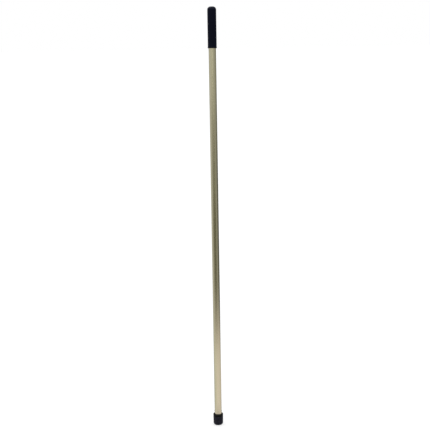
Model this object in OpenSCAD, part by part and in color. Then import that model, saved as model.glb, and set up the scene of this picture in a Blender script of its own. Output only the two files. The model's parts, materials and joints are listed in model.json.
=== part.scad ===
// Telescopic paint roller extension pole with a twist-lock collar and a threaded roller tip.
// Closed and standing on its collar: +Z runs up the pole, towards the hand grip.
// The origin is the centre of the lock nut's bottom face, and all sizes are in millimetres.

/* [Pole] */
// Length of the closed pole, from the lock nut's face to the top of the grip
closed_l = 1472; // [600:1:2000]
// Outside diameter of the outer tube
tube_od = 25.4; // [25:0.1:26]
// Outside diameter of the sliding inner tube
inner_od = 22.2; // [21.8:0.1:22.4]
// Wall thickness of both tubes
tube_wall = 0.8; // [0.7:0.05:0.9]
// Length of tube that stays inside the outer tube when the pole is fully out
overlap_l = 160; // [100:1:200]

/* [Hand grip] */
// Length of the vinyl grip, with its domed end
grip_l = 137; // [110:1:160]
// Outside diameter of the grip
grip_od = 30; // [29:0.1:33]
// Radius of the grip's domed shoulder
grip_dome_r = 11; // [6:0.5:12]

/* [Lock collar] */
// Outside diameter of the collar
collar_od = 35.4; // [35:0.1:38]
// Height of the collar, from the nut's face to the top of the trim ring
collar_h = 40; // [37:0.1:41]
// Height of the smooth trim ring at the top of the collar
trim_h = 7.6; // [7:0.1:8]
// Radius of the nut's rounded lower end
nut_edge_r = 8; // [6:0.5:9]
// How much the nut narrows in radius towards its lower end
nut_taper = 0.6; // [0:0.1:0.8]
// Number of flutes round the nut
flute_count = 30; // [16:1:36]
// Depth of each flute
flute_depth = 0.7; // [0.3:0.1:0.9]
// Pitch of the thread between nut and lock body, a right-hand thread
lock_pitch = 3; // [2.5:0.1:3]
// Number of slits in the collet
collet_slits = 6; // [4:1:8]

/* [Roller thread] */
// Outside diameter of the thread that the roller frame screws on
tip_thread_od = 19; // [18:0.1:19.05]
// Pitch of that thread, five turns to the inch
tip_pitch = 5.08; // [4:0.01:6]
// Length of the threaded stretch, with its plain nose
tip_thread_l = 23; // [20:0.5:23]
// How far the tip's nose stands back inside the nut's mouth
tip_setback = 1.5; // [0.5:0.5:3]

/* [Hidden] */
$fn = 96;

// Clearances
slide_gap = 0.03;  // between the inner tube and the closed collet
guide_gap = 0.07;  // between sliding tube and lock body
push_gap = 0.05;   // between pieces pushed together for good
run_gap = 0.15;    // between the turning nut and the lock body
face_gap = 0.02;   // between flat faces that rest on each other
cut = 1;           // how far a cutting shape reaches past what it cuts

// Pins and rivets across the pole
pin_r = 1.5;
pin_hole_r = pin_r + push_gap;
pin_sunk = 1.4;    // how far a pin goes into the plug behind the tube's wall
pin_hole_depth = pin_sunk + 0.1;
shank_r = 1.55;
shank_hole_r = shank_r + push_gap;

// Tubes
tube_r = tube_od / 2;
tube_bore_r = tube_r - tube_wall;
inner_r = inner_od / 2;
inner_bore_r = inner_r - tube_wall;
plug_head_h = 2;
dome_h = 5;        // thickness of the grip's closed end
tube_top_z = closed_l - dome_h - plug_head_h;

// Collar, from the outside in
collar_r = collar_od / 2;
trim_z = collar_h - trim_h;
trim_line = 0.8;   // open line between the nut and the trim ring
nut_top_z = trim_z - trim_line;
tube_sunk = 1.6;   // how far the outer tube goes into the trim ring
tube_seat_z = collar_h - tube_sunk;
nut_wall = 3;
thread_depth = 0.8;
skirt_wall = 0.85;
lock_crest_r = collar_r - nut_wall;
lock_core_r = lock_crest_r - thread_depth;
skirt_bore_r = lock_core_r - skirt_wall;
thrust_tube_r = skirt_bore_r - run_gap;
mouth_r = inner_r + 0.5;
foot_w = 1.6;      // width of the flat rim that the pole stands on, with its bevel
foot_r = mouth_r + foot_w;
hub_r = lock_crest_r - 0.1;

// Heights in the lock
lock_thread_z = 12.2;
lock_turns = 5;
lock_drop = 0.75;  // how far the nut moves down the pole as it comes loose
tip_lead_l = 3.5;
tip_turns = floor((tip_thread_l - tip_lead_l - 2) / tip_pitch) + 1;
tip_shoulder_z = tip_setback + tip_thread_l;
washer_z = tip_shoulder_z - 2.5;
washer_h = 1;
collet_z = washer_z + washer_h;
collet_rim_h = 1.2;
cone_h = 8.4;
seat_z = collet_z + collet_rim_h;
collet_top_z = seat_z + cone_h;
seat_top_z = collet_top_z + 0.4;
skirt_z = 10;
liner_top_z = 69.5;
cone_top_r = inner_r + 0.95;
rivet_z = tube_seat_z + 11;

// Inner section, which slides out until its stop sleeve is 0.5 above the lock body
tip_shoulder_h = 5.5;
tube_start_z = tip_shoulder_z + tip_shoulder_h;
tip_tang_l = 32;
tip_rivet_z = tube_start_z + tip_tang_l / 2;
bumper_r = 9.3;
bumper_h = 23;
plug_floor = 2;
bumper_z = tube_top_z - plug_floor - bumper_h;
guide_land_h = 9.5;
groove_low = 2.4;  // from the foot of the guide plug's land to its groove
groove_h = 5;
groove_depth = 1.2;
guide_top_z = bumper_z - 0.5;
inner_top_z = guide_top_z - guide_land_h;
plug_rivet_z = inner_top_z - 14;
stop_l = 20;
stop_z = inner_top_z - overlap_l + stop_l;

// Colours
champagne = [0.78, 0.74, 0.62];
satin_silver = [0.76, 0.77, 0.78];
vinyl_black = [0.06, 0.06, 0.09];
nylon_black = [0.12, 0.12, 0.14];
acetal_white = [0.88, 0.87, 0.82];
zinc_grey = [0.6, 0.61, 0.63];
rubber_black = [0.08, 0.08, 0.08];

// Points along an arc of a lathe outline: centre, radius, first and last angle
function arc(c, r, a0, a1, steps = 8) =
    [for (i = [0:steps]) let (a = a0 + (a1 - a0) * i / steps) c + r * [cos(a), sin(a)]];

// A solid of revolution from an outline of [radius, height] points
module lathe(outline) {
    rotate_extrude() polygon(outline);
}

// A plain ring or tube standing on z
module ring(r_in, r_out, z, h) {
    translate([0, 0, z]) difference() {
        cylinder(r = r_out, h = h);
        translate([0, 0, -cut]) cylinder(r = r_in, h = h + 2 * cut);
    }
}

// Outline points of a row of round ridges, which stand in for the turns of a thread.
// z0 is the middle of the first ridge; dir is 1 when the outline runs upwards and -1 downwards.
function ridges(root_r, crest_r, root_w, crest_w, pitch, z0, count, dir = 1) =
    [for (i = [0:count - 1]) let (z = z0 + pitch * (dir > 0 ? i : count - 1 - i))
        each [[root_r, z - dir * root_w / 2], [crest_r, z - dir * crest_w / 2],
              [crest_r, z + dir * crest_w / 2], [root_r, z + dir * root_w / 2]]];

// Two round holes or pins facing each other across the pole, each from r0 out to r1
module cross_pair(r, r0, r1, z) {
    for (side = [0, 180])
        rotate([0, 0, side]) translate([r0, 0, z]) rotate([0, 90, 0]) cylinder(r = r, h = r1 - r0);
}

module outer_tube() {
    color(champagne) difference() {
        ring(tube_bore_r, tube_r, tube_seat_z, tube_top_z - tube_seat_z);
        cross_pair(shank_hole_r, tube_bore_r - cut, tube_r + cut, rivet_z);
    }
}

// Vinyl sleeve with a domed closed end, an air vent in the dome and a thicker lip at its mouth
module grip_sleeve() {
    r = grip_od / 2;
    z0 = closed_l - grip_l;
    bore = tube_r + push_gap;
    lip = 0.5;
    vent_r = 1.5;
    floor_z = closed_l - dome_h + 0.2;
    color(vinyl_black) lathe(concat(
        [[bore, z0 + 0.5], [bore + 0.5, z0]],
        arc([r + lip - 1, z0 + 1], 1, -90, 0, 4),
        [[r + lip, z0 + 3], [r, z0 + 5]],
        arc([r - grip_dome_r, closed_l - grip_dome_r], grip_dome_r, 0, 90, 12),
        [[vent_r, closed_l], [vent_r, floor_z], [bore - 0.5, floor_z], [bore, floor_z - 0.5]]
    ));
}

// Cup-shaped plug in the top of the outer tube
module end_plug() {
    r = tube_bore_r - push_gap;
    cup_r = bumper_r + push_gap;
    head_r = tube_r - 0.1;
    head_z = tube_top_z + plug_head_h;
    floor_z = tube_top_z - plug_floor + 0.5;
    z0 = bumper_z + 4;
    color(nylon_black) lathe([
        [cup_r, z0], [r - 0.6, z0], [r, z0 + 1], [r, tube_top_z],
        [head_r - 0.5, tube_top_z], [head_r, tube_top_z + 0.5],
        [head_r, head_z - 0.5], [head_r - 0.5, head_z],
        [0, head_z], [0, floor_z], [cup_r, floor_z]
    ]);
}

// Rubber block that the inner section closes against
module bumper() {
    lead_h = 1;
    color(rubber_black) translate([0, 0, bumper_z]) {
        cylinder(r1 = bumper_r - 0.8, r2 = bumper_r, h = lead_h);
        translate([0, 0, lead_h]) cylinder(r = bumper_r, h = bumper_h - lead_h);
    }
}

// Fixed part of the lock: liner inside the tube, hub, and a threaded skirt round the collet's cone
module lock_body() {
    bore = inner_r + guide_gap;
    liner_r = tube_bore_r - guide_gap / 2;
    color(nylon_black) difference() {
        lathe(concat(
            [[bore, liner_top_z], [bore, seat_top_z], [cone_top_r, seat_top_z], [skirt_bore_r, seat_z],
             [skirt_bore_r, skirt_z], [lock_core_r - 0.3, skirt_z], [lock_core_r, skirt_z + 0.3]],
            ridges(lock_core_r, lock_crest_r, 1.3, 0.5, lock_pitch, lock_thread_z, lock_turns),
            [[lock_core_r, nut_top_z - 1.4], [lock_core_r - 0.1, nut_top_z - 1.3],
             [lock_core_r - 0.1, trim_z], [hub_r, trim_z], [hub_r, tube_seat_z],
             [liner_r, tube_seat_z], [liner_r, liner_top_z]]
        ));
        cross_pair(shank_hole_r, bore - cut, tube_bore_r + cut, rivet_z);
    }
}

// Smooth ring that covers the hub and the end of the outer tube
module trim_ring() {
    edge = 2;
    top_in = tube_r + push_gap;
    color(nylon_black) lathe(concat(
        [[hub_r + push_gap, trim_z], [collar_r - 0.3, trim_z], [collar_r, trim_z + 0.3]],
        arc([collar_r - edge, collar_h - edge], edge, 0, 90, 6),
        [[top_in + 0.3, collar_h], [top_in, collar_h - 0.3], [top_in, tube_seat_z + push_gap],
         [hub_r + push_gap, tube_seat_z + push_gap]]
    ));
}

// Rivets through the tube and the lock body's liner, set flush inside so that the inner tube can pass
module lock_body_rivets() {
    head_r = 2.4;
    head_h = 0.7;
    shank_end_r = inner_r + guide_gap + 0.15;
    color(zinc_grey) for (side = [0, 180])
        rotate([0, 0, side]) translate([0, 0, rivet_z]) rotate([0, 90, 0]) {
            translate([0, 0, shank_end_r]) cylinder(r = shank_r, h = tube_r - shank_end_r + 0.2);
            translate([0, 0, tube_r + 0.1]) rotate_extrude() polygon(concat(
                [[0, 0], [head_r, 0]], arc([head_r - 0.5, head_h - 0.5], 0.5, 0, 70, 4), [[0, head_h]]));
        }
}

// Rubber ring that gives the nut its drag
module nut_friction_ring() {
    r_in = lock_core_r - 0.08;
    r_out = lock_crest_r + run_gap + 0.18;
    color(rubber_black) translate([0, 0, nut_top_z - 0.7])
        rotate_extrude() translate([(r_in + r_out) / 2, 0]) circle(r = (r_out - r_in) / 2);
}

// Fluted nut: a tapered outer wall with the thread, and an inner tube that pushes the washer and
// collet up. The flutes run out in the rounded lower end, which leaves a narrow flat rim to stand on.
module lock_nut() {
    root_r = lock_crest_r + run_gap;
    groove_z = skirt_z - 1.4;
    flute_r = 1.1;
    top_edge_r = 0.8;
    bowl_r = collar_r - nut_taper - nut_edge_r;
    bowl_a = acos((foot_r - bowl_r) / nut_edge_r);
    bowl_z = nut_edge_r * sin(bowl_a);
    lean = atan(nut_taper / (nut_top_z - top_edge_r - bowl_z));
    color(nylon_black) difference() {
        lathe(concat(
            [[mouth_r, 1], [mouth_r + 1, 0]],
            arc([bowl_r, bowl_z], nut_edge_r, -bowl_a, 0, 8),
            arc([collar_r - top_edge_r, nut_top_z - top_edge_r], top_edge_r, 0, 90, 4),
            [[root_r + 0.2, nut_top_z], [root_r + 0.2, nut_top_z - 1.4], [root_r, nut_top_z - 1.6]],
            ridges(root_r, lock_core_r + run_gap, 1.3, 0.5, lock_pitch,
                   lock_thread_z + (lock_pitch + lock_drop) / 2, lock_turns - 1, -1),
            [[root_r, groove_z], [thrust_tube_r, groove_z], [thrust_tube_r, washer_z - face_gap],
             [mouth_r, washer_z - face_gap]]
        ));
        for (i = [0:flute_count - 1])
            rotate([0, 0, 360 * i / flute_count])
                translate([collar_r - nut_taper + flute_r - flute_depth, 0, bowl_z])
                    rotate([0, lean, 0])
                        translate([0, 0, -bowl_z]) cylinder(r = flute_r, h = nut_top_z - 2.5);
    }
}

// Slit cone that closes on the inner tube
module collet() {
    cone_gap = 0.05;
    slit_w = 1.2;
    color(acetal_white) difference() {
        lathe([
            [inner_r + slide_gap, collet_z], [thrust_tube_r, collet_z], [thrust_tube_r, seat_z - 0.3],
            [skirt_bore_r - cone_gap - 0.06, seat_z], [cone_top_r - cone_gap, collet_top_z],
            [inner_r + slide_gap, collet_top_z]
        ]);
        for (i = [0:collet_slits - 1])
            rotate([0, 0, 360 * (i + 0.5) / collet_slits])
                translate([inner_r - 1, -slit_w / 2, seat_z + 0.6])
                    cube([4, slit_w, collet_top_z - seat_z]);
    }
}

module thrust_washer() {
    color(zinc_grey) ring(mouth_r, thrust_tube_r, washer_z, washer_h - face_gap);
}

module inner_tube() {
    color(satin_silver) difference() {
        ring(inner_bore_r, inner_r, tube_start_z, inner_top_z - tube_start_z);
        for (z = [tip_rivet_z, stop_z + stop_l / 2, plug_rivet_z])
            cross_pair(pin_hole_r, inner_bore_r - cut, inner_r + cut, z);
    }
}

// Moulded tip: threaded nose, shoulder flush with the inner tube, and a cored tang inside it
module threaded_tip() {
    crest_r = tip_thread_od / 2;
    core_r = crest_r - tip_pitch / 2;
    tang_r = inner_bore_r - push_gap;
    tang_top_z = tube_start_z + tip_tang_l;
    hollow_r = 5.5;
    hollow_z = tube_start_z + 4;
    crest_w = 0.37 * tip_pitch;
    flank_a = 14.5;
    root_w = crest_w + tip_pitch * tan(flank_a);
    color(nylon_black) difference() {
        lathe(concat(
            [[0, tip_setback + 1.5], [3, tip_setback + 1.5], [4, tip_setback],
             [core_r - 1, tip_setback], [core_r, tip_setback + 1]],
            ridges(core_r, crest_r, root_w, crest_w, tip_pitch, tip_setback + tip_lead_l, tip_turns),
            [[core_r, tip_shoulder_z], [inner_r - 0.6, tip_shoulder_z],
             [inner_r, tip_shoulder_z + 0.6], [inner_r, tube_start_z], [tang_r, tube_start_z],
             [tang_r, tang_top_z - 1], [tang_r - 1, tang_top_z], [hollow_r, tang_top_z],
             [hollow_r, hollow_z], [0, hollow_z]]
        ));
        cross_pair(pin_hole_r, tang_r - pin_hole_depth, tang_r + cut, tip_rivet_z);
    }
}

// A pair of drive pins, trimmed to the curve of the tube that they sit in
module flush_pins(r0, r_flush, z) {
    color(zinc_grey) intersection() {
        cross_pair(pin_r, r0, r_flush + cut, z);
        translate([0, 0, z - 2 * pin_r]) cylinder(r = r_flush, h = 4 * pin_r);
    }
}

module tip_rivets() {
    flush_pins(inner_bore_r - push_gap - pin_sunk, inner_r - 0.02, tip_rivet_z);
}

// Plug in the top of the inner tube, with a land that runs in the outer tube and a groove for its ring
module guide_plug() {
    tang_r = inner_bore_r - push_gap;
    tang_low_z = inner_top_z - 36;
    land_r = tube_bore_r - 0.1;
    groove_r = land_r - groove_depth;
    groove_z = inner_top_z + groove_low;
    hollow_r = 7;
    hollow_top_z = guide_top_z - 3;
    color(nylon_black) difference() {
        lathe([
            [hollow_r, tang_low_z], [tang_r - 0.8, tang_low_z], [tang_r, tang_low_z + 1],
            [tang_r, inner_top_z], [land_r, inner_top_z], [land_r, groove_z],
            [groove_r, groove_z], [groove_r, groove_z + groove_h], [land_r, groove_z + groove_h],
            [land_r, guide_top_z - 0.6], [land_r - 0.6, guide_top_z],
            [0, guide_top_z], [0, hollow_top_z], [hollow_r, hollow_top_z]
        ]);
        cross_pair(pin_hole_r, tang_r - pin_hole_depth, tang_r + cut, plug_rivet_z);
    }
}

module guide_plug_rivets() {
    flush_pins(inner_bore_r - push_gap - pin_sunk, inner_r + 0.4, plug_rivet_z);
}

// Split ring in the guide plug's groove, which slides on the outer tube's bore
module guide_ring() {
    side_gap = 0.1;
    split_w = 1;
    color(acetal_white) difference() {
        ring(tube_bore_r - 1.25, tube_bore_r - 0.02, inner_top_z + groove_low + side_gap,
             groove_h - 2 * side_gap);
        translate([tube_bore_r - 3, -split_w / 2, inner_top_z]) cube([5, split_w, guide_land_h]);
    }
}

// Sleeve fixed round the inner tube, which stops it from pulling out
module stop_sleeve() {
    color(acetal_white) difference() {
        ring(inner_r + slide_gap, tube_bore_r - 0.1, stop_z, stop_l);
        cross_pair(pin_hole_r, inner_r - cut, tube_bore_r + cut, stop_z + stop_l / 2);
    }
}

module stop_sleeve_pins() {
    flush_pins(inner_bore_r - 0.8, tube_bore_r - 0.2, stop_z + stop_l / 2);
}

outer_tube();
grip_sleeve();
end_plug();
bumper();
lock_body();
trim_ring();
lock_body_rivets();
nut_friction_ring();
lock_nut();
collet();
thrust_washer();
inner_tube();
threaded_tip();
tip_rivets();
guide_plug();
guide_plug_rivets();
guide_ring();
stop_sleeve();
stop_sleeve_pins();
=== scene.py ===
"""Looks of a telescopic roller extension pole: its visible pieces, their materials and a plain studio.
Sizes are in millimetres unless their name says otherwise, and become metres when points are made."""
import json
import math

import bmesh
import bpy
from mathutils import Matrix, Vector, noise

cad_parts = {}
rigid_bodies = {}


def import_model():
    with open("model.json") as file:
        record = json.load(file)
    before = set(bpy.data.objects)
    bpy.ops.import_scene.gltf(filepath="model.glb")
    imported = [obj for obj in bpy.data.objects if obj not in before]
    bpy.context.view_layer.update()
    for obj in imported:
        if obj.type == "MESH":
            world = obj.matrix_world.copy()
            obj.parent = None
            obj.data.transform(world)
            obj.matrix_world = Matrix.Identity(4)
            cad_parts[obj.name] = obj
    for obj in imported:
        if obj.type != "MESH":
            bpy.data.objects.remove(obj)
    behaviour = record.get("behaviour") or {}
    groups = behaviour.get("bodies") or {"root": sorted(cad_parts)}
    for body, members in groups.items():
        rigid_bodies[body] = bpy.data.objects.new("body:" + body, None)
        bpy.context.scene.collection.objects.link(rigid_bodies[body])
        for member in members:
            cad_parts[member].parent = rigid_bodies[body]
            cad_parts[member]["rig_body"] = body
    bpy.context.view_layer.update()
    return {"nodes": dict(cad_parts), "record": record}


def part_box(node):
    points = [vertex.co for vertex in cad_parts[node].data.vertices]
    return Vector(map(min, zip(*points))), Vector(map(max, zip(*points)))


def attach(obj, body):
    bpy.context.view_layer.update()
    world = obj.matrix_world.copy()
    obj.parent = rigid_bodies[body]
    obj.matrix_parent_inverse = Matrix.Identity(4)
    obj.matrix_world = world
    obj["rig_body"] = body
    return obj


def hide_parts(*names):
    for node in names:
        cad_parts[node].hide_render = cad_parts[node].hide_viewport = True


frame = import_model()

MM = 0.001
TAU = 2 * math.pi


# ------------------------------------------------------------------ sizes, read from the frame

def bottom(node):
    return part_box(node)[0].z / MM


def top(node):
    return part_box(node)[1].z / MM


def middle(node):
    return (bottom(node) + top(node)) / 2


def radii(node):
    """Smallest and largest distance of a CAD node's points from the pole's axis."""
    reach = [math.hypot(v.co.x, v.co.y) / MM for v in frame["nodes"][node].data.vertices]
    return min(reach), max(reach)


def mount_radius(name):
    return next(m["dims"]["r_mm"] for m in frame["record"]["mounts"] if m["name"] == name)


# Clearances
push_gap = 0.05    # between pieces pushed together for good
run_gap = 0.15     # between the threads of the nut and the lock body
face_gap = 0.02    # between flat faces that rest on each other

# Radii
tube_bore_r, tube_r = radii("outer_tube")
inner_bore_r, inner_r = radii("inner_tube")
body_bore_r, lock_crest_r = radii("lock_body")
mouth_r, collar_r = radii("lock_nut")
hub_r = lock_crest_r - 2 * push_gap
rivet_r = 1.55
rivet_hole_r = rivet_r + push_gap
pin_hole_r = 1.55

# Threads. The lock's starts a little above the foot of the lock body.
lock_thread_depth = 0.8
lock_core_r = lock_crest_r - lock_thread_depth
lock_pitch = 3
lock_turns = 4
lock_start_z = bottom("lock_body") + 1.6
tip_pitch = 5.08


# ------------------------------------------------------------------ mesh building

def arc(centre_r, centre_z, rad, first, last, steps):
    """Outline points along an arc. Angles are in degrees, from straight out."""
    angles = [math.radians(first + (last - first) * i / steps) for i in range(steps + 1)]
    return [(centre_r + rad * math.cos(a), centre_z + rad * math.sin(a)) for a in angles]


def levels(r, low, high, step):
    """Outline points up a plain wall, close together so that its radius can vary with height."""
    count = max(1, round((high - low) / step))
    return [(r, low + (high - low) * i / count) for i in range(count + 1)]


def point(bm, r, angle, z):
    return bm.verts.new((r * math.cos(angle) * MM, r * math.sin(angle) * MM, z * MM))


def ring(bm, r, z, count, shape=None):
    """A ring of points, or one point when it lies on the axis."""
    if r < 1e-6:
        return [point(bm, 0, 0, z)]
    angles = [TAU * i / count for i in range(count)]
    return [point(bm, shape(a, r, z) if shape else r, a, z) for a in angles]


def skin(bm, first, last):
    """Faces between two rings. Either may be a single point on the axis."""
    count = max(len(first), len(last))
    for i in range(count):
        j = (i + 1) % count
        corners = [first[i % len(first)], first[j % len(first)], last[j % len(last)], last[i % len(last)]]
        bm.faces.new(list(dict.fromkeys(corners)))


def thread(bm, first, last, root_r, crest_r, root_w, crest_w, pitch, turns, start_z, fade=0.4):
    """Fills the wall between two rings with a right-hand thread of trapezium section.
    The thread grows out of the wall, and sinks back into it, over the given part of a turn."""
    low, high = (first, last) if first[0].co.z < last[0].co.z else (last, first)
    count = len(low)
    section = ((0, -root_w / 2), (1, -crest_w / 2), (1, crest_w / 2), (0, root_w / 2))

    def column(angle, last_turn):
        """The thread's corners up the wall at one angle, four for each turn."""
        rows = []
        for turn in range(last_turn):
            run = turn + angle / TAU
            grow = max(0.0, min(1.0, run / fade, (turns - run) / fade))
            rows.append([point(bm, root_r + (crest_r - root_r) * grow * out, angle,
                               start_z + pitch * run + rise) for out, rise in section])
        return rows

    def join(left, right):
        """Faces between two columns: the thread's three sides, and the wall between its turns."""
        for a, b in zip(left, right):
            for k in range(3):
                bm.faces.new((a[k], b[k], b[k + 1], a[k + 1]))
        for k in range(turns - 1):
            bm.faces.new((left[k][3], right[k][3], right[k + 1][0], left[k + 1][0]))

    # A turn that goes once round comes back one pitch higher, so the seam holds one turn more.
    seam = column(0, turns + 1)
    columns = [column(TAU * i / count, turns) for i in range(1, count)]
    for i in range(count - 2):
        left, right = columns[i], columns[i + 1]
        join(left, right)
        bm.faces.new((low[i + 1], low[i + 2], right[0][0], left[0][0]))
        bm.faces.new((left[-1][3], right[-1][3], high[i + 2], high[i + 1]))
    after, before = columns[0], columns[-1]
    join(seam[:-1], after)
    join(before, seam[1:])
    bm.faces.new((low[0], low[1], after[0][0], seam[0][0]))
    bm.faces.new([seam[-2][3], after[-1][3], high[1], high[0]] + seam[-1][::-1])
    bm.faces.new([low[-1], low[0]] + seam[0] + [seam[1][0], before[0][0]])
    bm.faces.new((before[-1][3], seam[-1][3], high[0], high[-1]))


def lathe(outline, count, shape=None, threads=None):
    """A turned solid from (radius, height) points, with count points round it. shape(angle, r, z) varies a
    point's radius. threads maps an outline point to the thread that fills the wall from it to the next."""
    threads = threads or {}
    bm = bmesh.new()
    rings = [ring(bm, r, z, count, shape) for r, z in outline]
    pairs = [(i, i + 1) for i in range(len(rings) - 1)]
    if len(rings[0]) > 1:
        pairs.append((len(rings) - 1, 0))
    for a, b in pairs:
        if outline[a] in threads:
            thread(bm, rings[a], rings[b], **threads[outline[a]])
        else:
            skin(bm, rings[a], rings[b])
    bmesh.ops.recalc_face_normals(bm, faces=bm.faces)
    return bm


def cross_holes(r, *heights):
    """Cutters for the round holes that go across the pole at some heights."""
    length = 60    # well over the pole's width
    bm = bmesh.new()
    for z in heights:
        made = bmesh.ops.create_cone(bm, cap_ends=True, segments=32, radius1=r * MM, radius2=r * MM,
                                     depth=length * MM)["verts"]
        for v in made:
            v.co = Vector((v.co.z, v.co.y, v.co.x + z * MM))
    bmesh.ops.recalc_face_normals(bm, faces=bm.faces)
    mesh = bpy.data.meshes.new("cutter")
    bm.to_mesh(mesh)
    bm.free()
    return mesh


def drill(obj, holes):
    """Cuts the holes, then welds the sliver faces that the cut leaves along them."""
    cutter = bpy.data.objects.new("cutter", holes)
    bpy.context.scene.collection.objects.link(cutter)
    cut = obj.modifiers.new("holes", "BOOLEAN")
    cut.operation = "DIFFERENCE"
    cut.solver = "EXACT"
    cut.object = cutter
    done = obj.evaluated_get(bpy.context.evaluated_depsgraph_get())
    obj.data = bpy.data.meshes.new_from_object(done)
    obj.modifiers.clear()
    bpy.data.objects.remove(cutter)
    weld = 0.002 * MM
    bm = bmesh.new()
    bm.from_mesh(obj.data)
    bmesh.ops.remove_doubles(bm, verts=bm.verts, dist=weld)
    bmesh.ops.dissolve_degenerate(bm, edges=bm.edges, dist=weld)
    bm.to_mesh(obj.data)
    bm.free()


def piece(name, node, bm, slot, material=None, holes=None, smooth_deg=30):
    """Turns a bmesh into a piece that stands for a CAD node and rides on its body. Its material is the
    record's slot's own unless another is given. Edges sharper than smooth_deg stay sharp."""
    mesh = bpy.data.meshes.new(name)
    bm.to_mesh(mesh)
    bm.free()
    obj = bpy.data.objects.new(name, mesh)
    bpy.context.scene.collection.objects.link(obj)
    if holes:
        drill(obj, holes)
    for face in obj.data.polygons:
        face.use_smooth = True
    obj.data.set_sharp_from_angle(angle=math.radians(smooth_deg))
    obj.data.materials.clear()
    obj.data.materials.append(material or materials[slot])
    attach(obj, frame["nodes"][node]["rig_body"])
    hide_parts(node)


# ------------------------------------------------------------------ materials

class Graph:
    """A short way to write a node tree."""

    def __init__(self, tree, coordinates="Object"):
        self.tree = tree
        self.shader = tree.nodes.get("Principled BSDF")
        self.place = self.add("ShaderNodeTexCoord").outputs[coordinates]

    def add(self, kind, **inputs):
        node = self.tree.nodes.new(kind)
        for key, value in inputs.items():
            self.feed(node, key.replace("_", " "), value)
        return node

    def feed(self, node, key, value):
        if isinstance(value, bpy.types.NodeSocket):
            self.tree.links.new(value, node.inputs[key])
        else:
            node.inputs[key].default_value = value

    def grain(self, per_mm, detail, rough=0.6):
        """Noise, mostly from 0.3 to 0.7. per_mm gives its frequency along X, Y and Z."""
        stretch = self.add("ShaderNodeMapping", Vector=self.place, Scale=[f / MM for f in per_mm])
        return self.add("ShaderNodeTexNoise", Vector=stretch.outputs["Vector"], Scale=1.0, Detail=detail,
                        Roughness=rough).outputs["Fac"]

    def spread(self, value, low, high, from_low=0.3, from_high=0.7):
        """A value moved from one range, which is grain()'s if none is given, to another."""
        node = self.add("ShaderNodeMapRange", Value=value)
        limits = {"From Min": from_low, "From Max": from_high, "To Min": low, "To Max": high}
        for key, number in limits.items():
            self.feed(node, key, number)
        return node.outputs["Result"]

    def maths(self, operation, first, second):
        node = self.add("ShaderNodeMath")
        node.operation = operation
        self.feed(node, 0, first)
        self.feed(node, 1, second)
        return node.outputs[0]

    def blend(self, value, first, second):
        """A colour between two, chosen by a value from 0 to 1. Sockets 6 and 7 are the node's two colours,
        and output 2 is the mixed one."""
        node = self.add("ShaderNodeMix")
        node.data_type = "RGBA"
        self.feed(node, 0, value)
        self.feed(node, 6, first)
        self.feed(node, 7, second)
        return node.outputs[2]

    def tint(self, value, dark, light):
        return self.blend(value, (*dark, 1), (*light, 1))

    def edges(self, radius_mm=0.25):
        """The surface's normal with its sharp edges softened."""
        node = self.add("ShaderNodeBevel")
        node.samples = 4
        self.feed(node, "Radius", radius_mm * MM)
        return node.outputs["Normal"]

    def bump(self, value, height_mm, strength, normal):
        return self.add("ShaderNodeBump", Height=value, Distance=height_mm * MM, Strength=strength,
                        Normal=normal).outputs["Normal"]

    def surface(self, **inputs):
        for key, value in inputs.items():
            self.feed(self.shader, key.replace("_", " "), value)


def new_material(name):
    material = bpy.data.materials.new(name)
    material.use_nodes = True
    return material, Graph(material.node_tree)


def drawn_metal(name, dark, light, rough):
    """Anodised tube: fine lines along its length, faint cloudiness and a few deeper scores."""
    material, graph = new_material(name)
    lines = graph.grain((3.2, 3.2, 0.012), detail=4, rough=0.7)
    clouds = graph.grain((0.03, 0.03, 0.004), detail=2)
    scores = graph.grain((1.1, 1.1, 0.02), detail=1, rough=0.3)
    scores = graph.spread(scores, 0, 1, from_low=0.64, from_high=0.70)
    sheen = graph.maths("MULTIPLY", lines, clouds)
    sheen = graph.spread(sheen, 0, 1, from_low=0.15, from_high=0.35)
    normal = graph.bump(lines, height_mm=0.006, strength=0.5, normal=graph.edges(0.2))
    normal = graph.bump(scores, height_mm=-0.01, strength=0.35, normal=normal)
    graph.surface(
        Base_Color=graph.tint(sheen, dark, light),
        Metallic=1.0,
        Roughness=graph.spread(lines, rough - 0.05, rough + 0.07),
        Normal=normal,
    )
    return material


def moulded(name, dark, light, rough, grain_mm=0.25, relief_mm=0.02, gloss=0.5, patch_mm=16):
    """Plastic or rubber from a spark-eroded mould: fine pebbling, slow colour drift and duller patches."""
    material, graph = new_material(name)
    pebbles = graph.grain([1 / grain_mm] * 3, detail=2)
    drift = graph.grain([1 / patch_mm] * 3, detail=3)
    graph.surface(
        Base_Color=graph.tint(graph.spread(drift, 0, 1), dark, light),
        Roughness=graph.spread(drift, rough - 0.06, rough + 0.06),
        Specular_IOR_Level=gloss,
        Normal=graph.bump(pebbles, relief_mm, strength=0.6, normal=graph.edges()),
    )
    return material


def vinyl():
    """Soft dipped vinyl: skin-like fine grain, slow ripples from the dip and slightly rubbed patches."""
    material, graph = new_material("black_vinyl")
    fine = graph.grain((1.8, 1.8, 1.8), detail=4)
    ripples = graph.grain((0.05, 0.05, 0.12), detail=1)
    rubbed = graph.grain((0.04, 0.04, 0.02), detail=3)
    normal = graph.bump(ripples, height_mm=0.25, strength=0.5, normal=graph.edges(0.4))
    normal = graph.bump(fine, height_mm=0.06, strength=0.5, normal=normal)
    graph.surface(
        Base_Color=graph.tint(graph.spread(rubbed, 0, 1), (0.0004, 0.0008, 0.0066), (0.0011, 0.0017, 0.0094)),
        Roughness=graph.spread(rubbed, 0.28, 0.50),
        Specular_IOR_Level=0.09,
        Normal=normal,
    )
    return material


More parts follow.
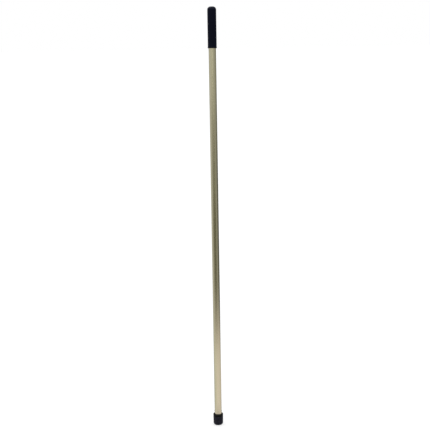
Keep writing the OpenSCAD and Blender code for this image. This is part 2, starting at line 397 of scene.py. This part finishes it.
def plated_steel():
    """Zinc-plated steel with the faint spangle and rub marks of small hardware."""
    material, graph = new_material("rivet_steel")
    spangle = graph.grain((1.5, 1.5, 1.5), detail=2)
    rubs = graph.grain((4, 0.3, 4), detail=3)
    graph.surface(
        Base_Color=graph.tint(graph.spread(spangle, 0, 1), (0.36, 0.36, 0.37), (0.56, 0.56, 0.56)),
        Metallic=1.0,
        Roughness=graph.spread(rubs, 0.24, 0.42),
        Normal=graph.bump(rubs, height_mm=0.01, strength=0.4, normal=graph.edges(0.15)),
    )
    return material


materials = {
    "champagne_aluminium": drawn_metal("champagne_aluminium", (0.60, 0.53, 0.37), (0.70, 0.62, 0.44), 0.20),
    "silver_aluminium": drawn_metal("silver_aluminium", (0.60, 0.61, 0.62), (0.74, 0.75, 0.76), 0.24),
    "black_vinyl": vinyl(),
    "black_nylon": moulded("black_nylon", (0.002, 0.002, 0.002), (0.004, 0.004, 0.004), 0.34, gloss=0.09),
    "white_acetal": moulded("white_acetal", (0.66, 0.65, 0.60), (0.74, 0.73, 0.68), 0.38,
                            grain_mm=0.4, relief_mm=0.008),
    "rivet_steel": plated_steel(),
    "black_rubber": moulded("black_rubber", (0.010, 0.010, 0.010), (0.020, 0.019, 0.018), 0.75,
                            grain_mm=0.35, relief_mm=0.03, gloss=0.3),
}
nut_nylon = moulded("nut_nylon", (0.0020, 0.0017, 0.0060), (0.0130, 0.0120, 0.0210), 0.50,
                    grain_mm=0.35, relief_mm=0.05, gloss=0.20, patch_mm=9)

# Every CAD node gets its slot's material. Those that a piece stands for stay hidden.
for part in frame["record"]["subparts"]:
    mesh = frame["nodes"][part["node"]].data
    mesh.materials.clear()
    mesh.materials.append(materials[part["material_slot"]])


# ------------------------------------------------------------------ the pieces

def tube_outline(bore_r, outer_r, low, high):
    """A tube's wall, with its edges broken at both ends."""
    edge = 0.15
    return [
        (bore_r, low + edge), (bore_r + edge, low), (outer_r - edge, low), (outer_r, low + edge),
        (outer_r, high - edge), (outer_r - edge, high), (bore_r + edge, high), (bore_r, high - edge),
    ]


def build_outer_tube():
    """Drawn tube with broken edges, and a hole each side for the lock body's rivets."""
    outline = tube_outline(tube_bore_r, tube_r, bottom("outer_tube"), top("outer_tube"))
    holes = cross_holes(rivet_hole_r, middle("lock_body_rivets"))
    piece("outer_tube_drawn", "outer_tube", lathe(outline, 160), "champagne_aluminium", holes=holes)


def build_inner_tube():
    """The sliding tube, with pairs of holes for its tip, its stop sleeve and its guide plug."""
    outline = tube_outline(inner_bore_r, inner_r, bottom("inner_tube"), top("inner_tube"))
    pins = [middle(n) for n in ("tip_rivets", "stop_sleeve_pins", "guide_plug_rivets")]
    holes = cross_holes(pin_hole_r, *pins)
    piece("inner_tube_drawn", "inner_tube", lathe(outline, 160), "silver_aluminium", holes=holes)


def build_grip():
    """Dipped vinyl sleeve: a thick rolled lip at its mouth, slight ripples, and a domed end with a vent."""
    low, high = bottom("grip_sleeve"), top("grip_sleeve")
    r, lip_r = mount_radius("hand_grip"), radii("grip_sleeve")[1]
    bore_r, dome_r, vent_r, end_h, lip_h = tube_r + push_gap, 11, 1.5, 4.8, 5
    roll_r = (lip_r - bore_r - 0.6) / 2
    inner_edge, vent_edge, ripple_depth = 0.5, 0.3, 0.09

    def ripple(angle, reach, z):
        """Shallow hollows in the sleeve's outside. The bore and the top of the dome stay round."""
        if reach <= bore_r + 1:
            return reach
        where = Vector((math.cos(angle) * 1.1, math.sin(angle) * 1.1, z * 0.045))
        return reach - ripple_depth * abs(noise.noise(where))

    outline = (
        [(bore_r, low + inner_edge), (bore_r + inner_edge, low)]
        + arc(lip_r - roll_r, low + roll_r, roll_r, -90, 0, 8)
        + [(lip_r - 0.02, low + 2.6), (r + 0.3, low + 3.6), (r + 0.08, low + 4.4)]
        + levels(r, low + lip_h, high - dome_r, 3.0)
        + arc(r - dome_r, high - dome_r, dome_r, 0, 90, 20)[1:]
        + [(vent_r + vent_edge, high), (vent_r, high - vent_edge), (vent_r, high - end_h)]
        + [(bore_r - inner_edge, high - end_h), (bore_r, high - end_h - inner_edge)]
    )
    piece("hand_grip_vinyl", "grip_sleeve", lathe(outline, 144, ripple), "black_vinyl", smooth_deg=40)


def build_trim_ring():
    """Smooth ring at the tube's mouth, rounded over at the top."""
    low, high, seat_z = bottom("trim_ring"), top("trim_ring"), bottom("outer_tube") + push_gap
    bore_r, over_hub_r = tube_r + push_gap, hub_r + push_gap
    low_edge, top_edge, bore_edge = 0.4, 2, 0.4
    outline = (
        [(over_hub_r, low)]
        + arc(collar_r - low_edge, low + low_edge, low_edge, -90, 0, 4)
        + arc(collar_r - top_edge, high - top_edge, top_edge, 0, 90, 10)
        + [(bore_r + bore_edge, high), (bore_r + 0.1, high - 0.1), (bore_r, high - bore_edge)]
        + [(bore_r, seat_z), (over_hub_r, seat_z)]
    )
    piece("collar_trim_ring", "trim_ring", lathe(outline, 144), "black_nylon")


def build_lock_body():
    """Liner, hub and threaded skirt round the collet's cone. The friction ring sits at the skirt's top."""
    low, high = bottom("lock_body"), top("lock_body")
    trim_low, tube_low = bottom("trim_ring"), bottom("outer_tube")
    seat_low, seat_top = bottom("collet") + 1.2, top("collet") + 0.4
    skirt_bore_r, cone_top_r, liner_r = lock_core_r - 0.85, inner_r + 0.95, tube_bore_r - 0.035
    groove_low, groove_depth, edge = trim_low - 2.1, 0.1, 0.3
    thread_wall = (lock_core_r, low + edge)
    outline = [
        (body_bore_r, high - edge), (body_bore_r, seat_top), (cone_top_r, seat_top), (skirt_bore_r, seat_low),
        (skirt_bore_r, low), (lock_core_r - edge, low), thread_wall,
        (lock_core_r, groove_low - groove_depth), (lock_core_r - groove_depth, groove_low),
        (lock_core_r - groove_depth, trim_low), (hub_r, trim_low), (hub_r, tube_low), (liner_r, tube_low),
        (liner_r, high - edge), (liner_r - edge, high), (body_bore_r + 0.1, high),
    ]
    screw = dict(root_r=lock_core_r, crest_r=lock_crest_r, root_w=1.9, crest_w=0.8, pitch=lock_pitch,
                 turns=lock_turns, start_z=lock_start_z)
    piece("lock_body_threaded", "lock_body", lathe(outline, 144, threads={thread_wall: screw}),
          "black_nylon", holes=cross_holes(rivet_hole_r, middle("lock_body_rivets")))


def build_lock_nut():
    """Tapered nut with its internal thread, room for the friction ring and a rounded lower end. Each flute
    is the scoop of a round cutter: it runs out in the rounded end, and stops short of the nut's top in a
    rounded end of its own."""
    low, high = bottom("lock_nut"), top("lock_nut")
    washer_z = bottom("thrust_washer") - face_gap
    root_r, thrust_r = lock_crest_r + run_gap, lock_core_r - 1.0
    groove_z = bottom("lock_body") - 1.4
    taper, end_r, foot_r, top_edge = 0.6, 8.0, mouth_r + 1.6, 0.8
    cutter_r, depth, count = 1.1, 0.7, 30
    bowl_r = collar_r - taper - end_r
    bowl_deg = math.degrees(math.acos((foot_r - bowl_r) / end_r))
    bowl_z = low + end_r * math.sin(math.radians(bowl_deg))
    flute_high, flute_end = high - 1.6, 1.4
    ring_bore_r, ring_bore_z, mouth_edge = root_r + 0.2, high - 1.4, 1

    def wall(z):
        """The straight taper of the outer wall, carried on below where the rounded end starts."""
        return collar_r - taper * (high - top_edge - z) / (high - top_edge - bowl_z)

    def flutes(angle, reach, z):
        if z > flute_high or reach < wall(z) - depth:
            return reach
        sector = TAU / count
        across = ((angle + sector / 2) % sector - sector / 2) * collar_r
        scoop = math.sqrt(max(0.0, cutter_r ** 2 - across ** 2)) - (cutter_r - depth)
        end = min(1.0, (flute_high - z) / flute_end)
        scoop = max(0.0, scoop - depth * (1 - math.sqrt(1 - (1 - end) ** 2)))
        return min(reach, wall(z) - scoop)

    side = [(wall(z), z) for _, z in levels(0, bowl_z, high - top_edge, 0.5)]
    thread_wall = (root_r, ring_bore_z - 0.2)
    outline = (
        [(mouth_r, low + mouth_edge), (mouth_r + 0.3, low + 0.3), (mouth_r + mouth_edge, low)]
        + arc(bowl_r, bowl_z, end_r, -bowl_deg, 0, 18)[:-1]
        + side[:-1]
        + arc(collar_r - top_edge, high - top_edge, top_edge, 0, 90, 6)
        + [(ring_bore_r, high), (ring_bore_r, ring_bore_z), thread_wall]
        + [(root_r, groove_z), (thrust_r, groove_z), (thrust_r, washer_z), (mouth_r, washer_z)]
    )
    screw = dict(root_r=root_r, crest_r=lock_core_r + run_gap, root_w=1.8, crest_w=0.9, pitch=lock_pitch,
                 turns=lock_turns, start_z=lock_start_z + lock_pitch / 2)
    piece("lock_nut_fluted", "lock_nut", lathe(outline, count * 14, flutes, {thread_wall: screw}),
          "black_nylon", nut_nylon, smooth_deg=35)


def build_tip():
    """Moulded tip with the roller thread: trapezium section, five turns to the inch, right-hand."""
    low, high, crest_r = bottom("threaded_tip"), top("threaded_tip"), mount_radius("tip_thread")
    tang_r, tube_low = inner_bore_r - push_gap, bottom("inner_tube")
    dimple_r, dimple_z, nose_edge = 3, low + 1.5, 1
    shoulder_z, shoulder_edge, core_hole_r, core_hole_z = tube_low - 5.5, 0.6, 5.5, tube_low + 4
    depth, flank_deg, crest_w = tip_pitch / 2, 14.5, 0.37 * tip_pitch
    root_w = crest_w + 2 * depth * math.tan(math.radians(flank_deg))
    core_r = crest_r - depth
    thread_wall = (core_r, low + nose_edge)
    outline = [
        (0, dimple_z), (dimple_r, dimple_z), (dimple_r + 1, low), (core_r - nose_edge, low), thread_wall,
        (core_r, shoulder_z), (inner_r - shoulder_edge, shoulder_z), (inner_r - 0.15, shoulder_z + 0.2),
        (inner_r, shoulder_z + shoulder_edge), (inner_r, tube_low), (tang_r, tube_low), (tang_r, high - 1),
        (tang_r - 1, high), (core_hole_r, high), (core_hole_r, core_hole_z), (0, core_hole_z),
    ]
    screw = dict(root_r=core_r, crest_r=crest_r, root_w=root_w, crest_w=crest_w, pitch=tip_pitch,
                 turns=3, start_z=low + nose_edge + root_w / 2 + 0.4, fade=0.3)
    piece("roller_thread_tip", "threaded_tip", lathe(outline, 128, threads={thread_wall: screw}),
          "black_nylon", holes=cross_holes(pin_hole_r, middle("tip_rivets")))


def build_body_rivets():
    """A pair of blind rivets: domed heads on the tube, each with its broken stem sunk in the middle."""
    head_r = (top("lock_body_rivets") - bottom("lock_body_rivets")) / 2
    inner_end, outer_end = radii("lock_body_rivets")
    stem_r, well_r, edge = 0.7, 0.85, 0.1
    under, stem_end = tube_r + push_gap, outer_end - 0.3
    well_floor = stem_end - 0.15
    outline = [
        (0, inner_end), (rivet_r - edge, inner_end), (rivet_r, inner_end + edge), (rivet_r, under),
        (head_r - edge, under), (head_r, under + edge), (head_r, under + 0.3),
        (head_r * 0.86, outer_end - 0.14), (head_r * 0.62, outer_end - 0.03), (well_r + 0.12, outer_end),
        (well_r, outer_end - 0.06), (well_r, well_floor), (stem_r, well_floor),
        (stem_r, stem_end), (0, stem_end + 0.1),
    ]
    # The first is made upright, laid along X and lifted. The second is its copy, half a turn round the pole.
    bm = lathe(outline, 40)
    lift = Matrix.Translation((0, 0, middle("lock_body_rivets") * MM))
    bm.transform(lift @ Matrix.Rotation(math.radians(90), 4, "Y"))
    first = bm.verts[:] + bm.edges[:] + bm.faces[:]
    second = [g for g in bmesh.ops.duplicate(bm, geom=first)["geom"] if isinstance(g, bmesh.types.BMVert)]
    bmesh.ops.transform(bm, matrix=Matrix.Rotation(math.radians(180), 4, "Z"), verts=second)
    piece("collar_rivets", "lock_body_rivets", bm, "rivet_steel")


build_outer_tube()
build_inner_tube()
build_grip()
build_trim_ring()
build_lock_body()
build_lock_nut()
build_tip()
build_body_rivets()


# ------------------------------------------------------------------ studio

# Tints of the painted reflections that polished metal sees
COOL = (1, 1.07, 1.1)
NEUTRAL = (1, 1.06, 1)
PLAIN = (1, 0.98, 1)
WARM = (1, 1.03, 0.68)
ROSY = (1, 0.97, 1.06)


def fill_ramp(ramp, stops):
    """Fills a colour ramp with (position, colour) stops."""
    elements = ramp.color_ramp.elements
    while len(elements) > 1:
        elements.remove(elements[-1])
    elements[0].position, elements[0].color = stops[0]
    for position, colour in stops[1:]:
        elements.new(position).color = colour


def room(graph, place, distance):
    """The painted reflection that polished things see around the pole: the pole's own painted shade at the
    foot, a pale sweep round that, and a darker floor beyond, which brightens towards the horizon. The left
    side is painted brighter than the right."""
    axes = graph.add("ShaderNodeSeparateXYZ", Vector=place).outputs
    bearing = graph.maths("ARCTAN2", axes["X"], graph.maths("MULTIPLY", axes["Y"], -1.0))
    turn = graph.spread(bearing, 0, 1, -math.pi, math.pi)
    reach = graph.maths("LOGARITHM", distance, 10.0)

    def around(*values):
        """Brightness and tint against bearing, in degrees from the front towards +X."""
        ramp = graph.add("ShaderNodeValToRGB", Fac=turn)
        fill_ramp(ramp, [(0.5 + deg / 360, (*[bright * c for c in tint], 1)) for deg, bright, tint in values])
        return ramp.outputs["Color"]

    def nearing(start_m, end_m):
        """Goes from 0 to 1 as the distance goes from start to end."""
        span = graph.add("ShaderNodeMapRange", Value=reach, From_Min=math.log10(start_m),
                         From_Max=math.log10(end_m))
        span.interpolation_type = "SMOOTHSTEP"
        return span.outputs["Result"]

    # Painted shade: the pole's own shade on the floor near its foot, painted into the reflection
    foot = around((-180, 0.50, COOL), (-75, 0.85, ROSY), (-40, 0.55, ROSY), (0, 0.32, ROSY),
                  (40, 0.50, ROSY), (80, 0.80, ROSY), (180, 0.50, COOL))
    sweep = around((-180, 0.45, COOL), (-110, 0.68, COOL), (-75, 0.82, NEUTRAL), (0, 0.98, PLAIN),
                   (75, 0.86, PLAIN), (110, 0.72, PLAIN), (180, 0.45, COOL))
    beyond = around((-180, 0.30, COOL), (-110, 0.70, COOL), (-70, 0.43, NEUTRAL), (-35, 0.16, WARM),
                    (0, 0.10, WARM), (25, 0.18, WARM), (50, 0.38, NEUTRAL), (75, 0.21, NEUTRAL),
                    (110, 0.08, NEUTRAL), (180, 0.20, COOL))
    horizon = around((-180, 0.30, COOL), (-110, 0.60, COOL), (-50, 0.66, NEUTRAL), (0, 0.78, NEUTRAL),
                     (25, 0.56, NEUTRAL), (50, 0.49, NEUTRAL), (110, 0.32, NEUTRAL), (180, 0.30, COOL))
    # Painted reflection: the floor bands polished things see, blended by distance from the pole
    colour = graph.blend(nearing(4.5, 70), beyond, horizon)
    colour = graph.blend(nearing(2.0, 0.78), colour, sweep)
    return graph.blend(nearing(0.3, 0.05), colour, foot)


def floor_material():
    """Pale and faintly mottled, and lit a little from within, a glow that thins the pole's shadow on it.
    Polished things see a painted reflection of the room instead.
    """
    material, graph = new_material("pale_floor")
    mottle = graph.grain((0.004, 0.004, 0.004), detail=3)
    graph.surface(
        Base_Color=graph.tint(mottle, (0.49, 0.49, 0.49), (0.51, 0.51, 0.51)),
        Roughness=0.9,
        Specular_IOR_Level=0.0,
        Emission_Color=(1, 1, 1, 1),
        Emission_Strength=0.55,
    )
    distance = graph.add("ShaderNodeVectorMath", Vector=graph.place)
    distance.operation = "LENGTH"
    painted_reflection = graph.add("ShaderNodeEmission", Color=room(graph, graph.place, distance.outputs["Value"]))
    # Glossy rays get the painted reflection, all other rays the pale floor
    mix = graph.add("ShaderNodeMixShader", Fac=graph.add("ShaderNodeLightPath").outputs["Is Glossy Ray"])
    graph.feed(mix, 1, graph.shader.outputs["BSDF"])
    graph.feed(mix, 2, painted_reflection.outputs["Emission"])
    graph.feed(graph.tree.nodes["Material Output"], "Surface", mix.outputs["Shader"])
    return material


def build_floor():
    """A floor that stays under the pole's lowest point: it sinks with the inner section as that slides out,
    and leaves the lock nut the room that it needs as it comes loose."""
    half_m, nut_room = 3000, 0.85
    corners = [(-half_m, -half_m, 0), (half_m, -half_m, 0), (half_m, half_m, 0), (-half_m, half_m, 0)]
    mesh = bpy.data.meshes.new("floor")
    mesh.from_pydata(corners, [], [(0, 1, 2, 3)])
    mesh.materials.append(floor_material())
    floor = bpy.data.objects.new("floor", mesh)
    bpy.context.scene.collection.objects.link(floor)
    floor.location.z = -nut_room * MM
    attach(floor, "slider")


def build_world():
    """An even white sky. Polished things see a painted reflection of the room instead, with a painted bright
    ceiling over it.
    """
    world = bpy.data.worlds.new("studio")
    bpy.context.scene.world = world
    world.use_nodes = True
    graph = Graph(world.node_tree, "Generated")
    height = graph.add("ShaderNodeSeparateXYZ", Vector=graph.place).outputs["Z"]
    # Painted highlight: a bright ceiling that only reflections see, above a painted reflection of the room
    painted_ceiling_mask = graph.spread(height, 0, 1, 0.45, 0.9)
    walls_m = 1000.0
    painted_walls = graph.blend(painted_ceiling_mask, room(graph, graph.place, walls_m), (2.6, 2.6, 2.8, 1))
    path = graph.add("ShaderNodeLightPath").outputs
    light = graph.blend(path["Is Camera Ray"], (1.09, 1.09, 1.09, 1), (1, 1, 1, 1))
    light = graph.blend(path["Is Glossy Ray"], light, painted_walls)
    graph.feed(graph.tree.nodes["Background"], "Color", light)


def build_camera():
    """Level with the grip's lower edge, and away from the pole by a multiple of its bare tube's length."""
    lens_mm, tube_lengths_away, tipped_down_deg, roll_deg = 77.32, 2.432, 10.238, -0.93
    data = bpy.data.cameras.new("camera")
    camera = bpy.data.objects.new("camera", data)
    bpy.context.scene.collection.objects.link(camera)
    bpy.context.scene.camera = camera
    bare_tube = bottom("grip_sleeve") - top("trim_ring")
    data.lens = lens_mm
    camera.location = (0, -tube_lengths_away * bare_tube * MM, bottom("grip_sleeve") * MM)
    tip = Matrix.Rotation(math.radians(90 - tipped_down_deg), 3, "X")
    roll = Matrix.Rotation(math.radians(roll_deg), 3, "Z")
    camera.rotation_euler = (tip @ roll).to_euler()


build_floor()
build_world()
build_camera()
bpy.context.scene.view_settings.view_transform = "Standard"
